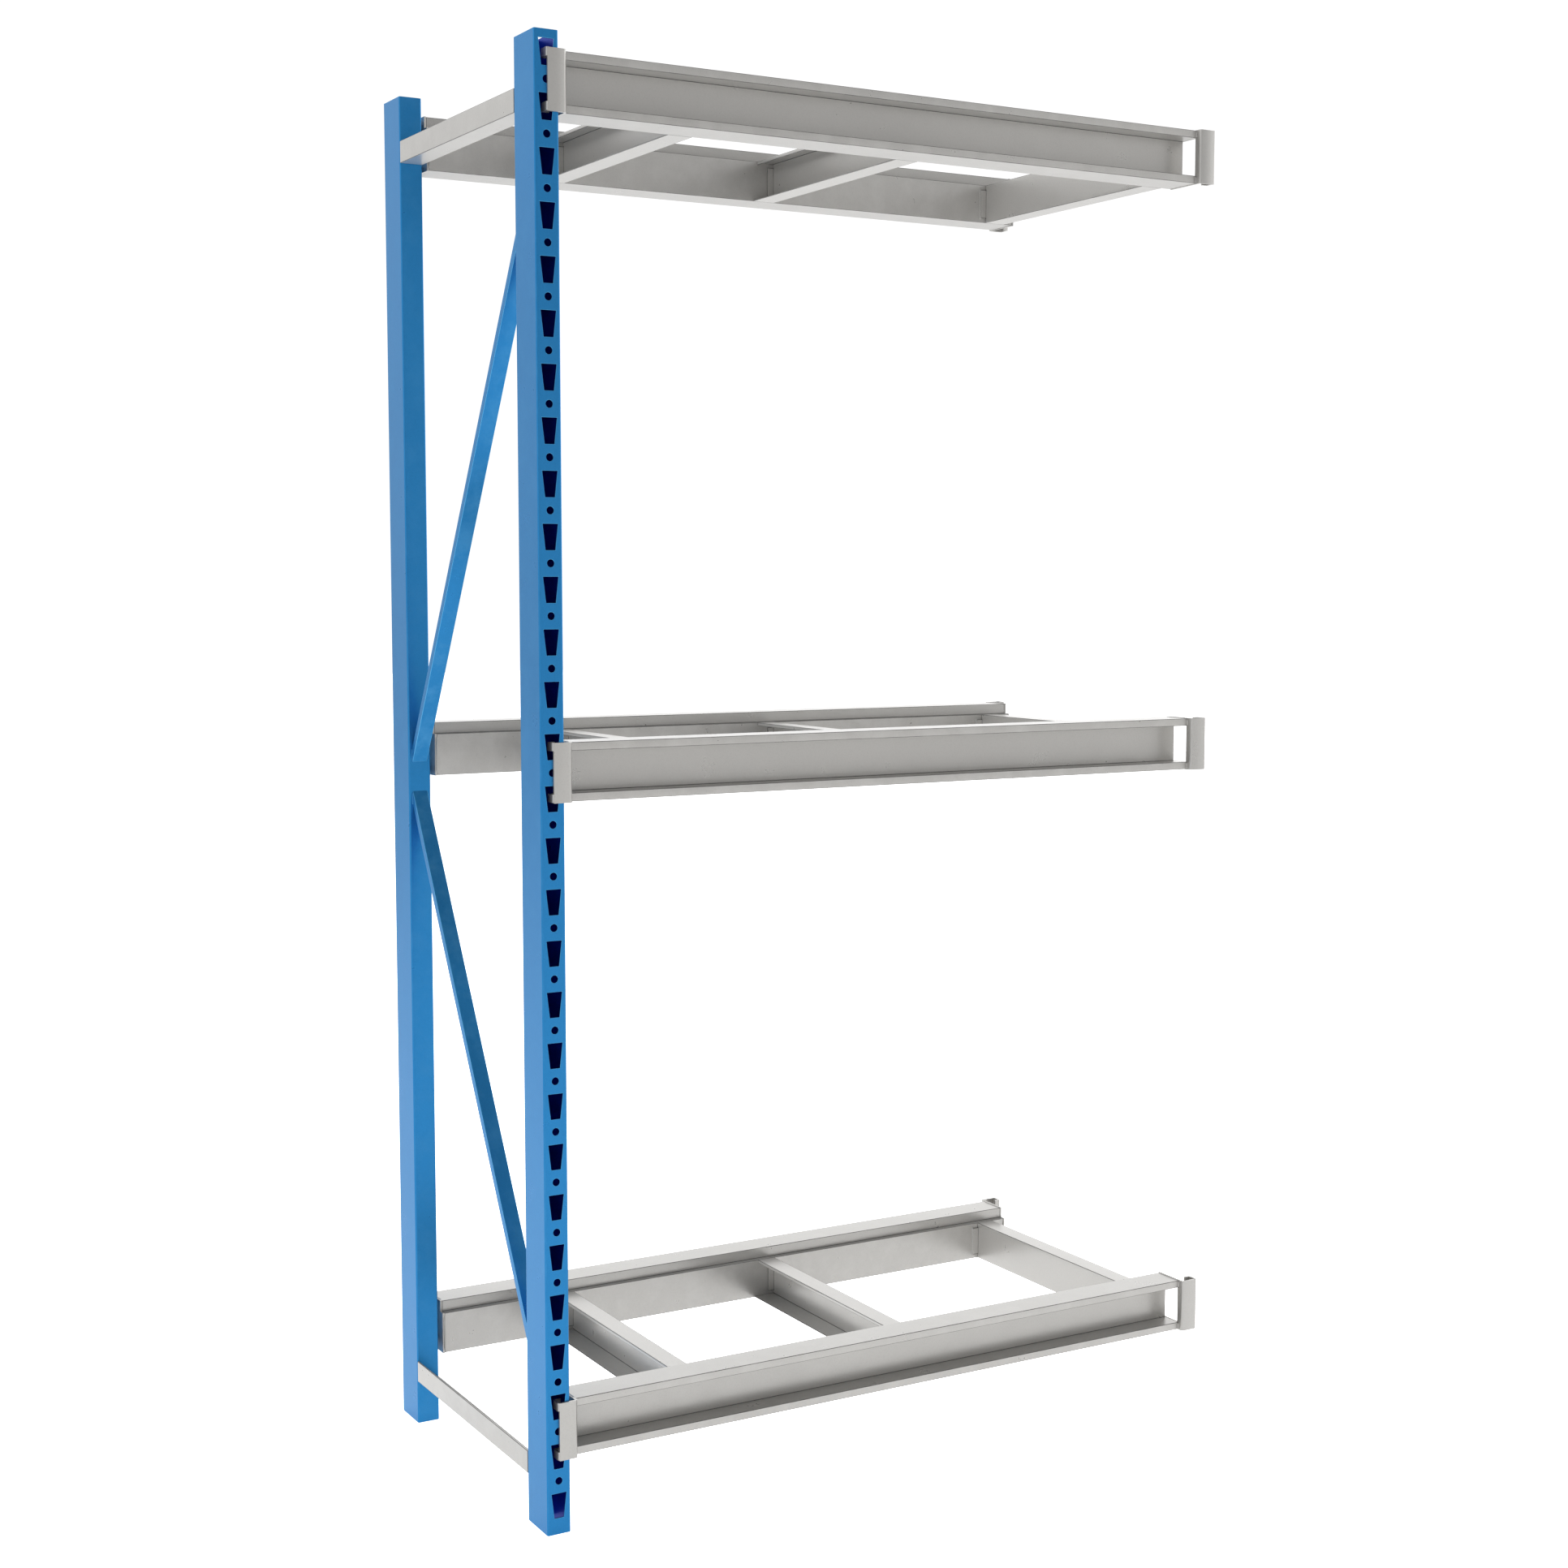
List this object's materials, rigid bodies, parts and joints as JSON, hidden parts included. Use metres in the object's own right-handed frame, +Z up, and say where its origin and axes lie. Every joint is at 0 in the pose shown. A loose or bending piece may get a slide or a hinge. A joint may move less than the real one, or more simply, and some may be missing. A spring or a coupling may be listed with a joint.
{
  "type": "boltless racking add-on bay",
  "caption": "Add-on bay of boltless bulk racking: blue slotted upright frame with grey step-beam shelf levels that hook on at one end.",
  "frame": {"origin": "centre of the overall footprint, on the floor", "axes": "+X along the beams from the upright frame to the free ends, +Y from the front to the back, +Z up"},
  "size_m": [1.2476, 0.6172, 2.2098],
  "materials": {
    "blue_paint": "powder coat, satin",
    "frame_grey_paint": "powder coat, satin",
    "beam_grey_paint": "powder coat, satin",
    "connector_grey_paint": "powder coat, satin",
    "cross_member_grey_paint": "powder coat, satin"
  },
  "bodies": {
    "upright_frame": {"front_post": "blue_paint", "rear_post": "blue_paint", "upper_diagonal": "blue_paint", "lower_diagonal": "blue_paint", "top_brace": "frame_grey_paint", "bottom_brace": "frame_grey_paint"},
    "bottom_level": {"bottom_front_beam": "beam_grey_paint", "bottom_rear_beam": "beam_grey_paint", "bottom_front_left_connector": "connector_grey_paint", "bottom_front_right_connector": "connector_grey_paint", "bottom_rear_left_connector": "connector_grey_paint", "bottom_rear_right_connector": "connector_grey_paint", "bottom_left_cross_member": "cross_member_grey_paint", "bottom_middle_cross_member": "cross_member_grey_paint", "bottom_right_cross_member": "cross_member_grey_paint"},
    "middle_level": {"middle_front_beam": "beam_grey_paint", "middle_rear_beam": "beam_grey_paint", "middle_front_left_connector": "connector_grey_paint", "middle_front_right_connector": "connector_grey_paint", "middle_rear_left_connector": "connector_grey_paint", "middle_rear_right_connector": "connector_grey_paint", "middle_left_cross_member": "cross_member_grey_paint", "middle_middle_cross_member": "cross_member_grey_paint", "middle_right_cross_member": "cross_member_grey_paint"},
    "top_level": {"top_front_beam": "beam_grey_paint", "top_rear_beam": "beam_grey_paint", "top_front_left_connector": "connector_grey_paint", "top_front_right_connector": "connector_grey_paint", "top_rear_left_connector": "connector_grey_paint", "top_rear_right_connector": "connector_grey_paint", "top_left_cross_member": "cross_member_grey_paint", "top_middle_cross_member": "cross_member_grey_paint", "top_right_cross_member": "cross_member_grey_paint"}
  },
  "joints": [
    {"name": "bottom_level_lift", "type": "slide", "parent": "upright_frame", "child": "bottom_level", "axis": [0, 0, 1], "range_m": [0, 0.012]},
    {"name": "middle_level_lift", "type": "slide", "parent": "upright_frame", "child": "middle_level", "axis": [0, 0, 1], "range_m": [0, 0.012]},
    {"name": "top_level_lift", "type": "slide", "parent": "upright_frame", "child": "top_level", "axis": [0, 0, 1], "range_m": [0, 0.012]}
  ]
}
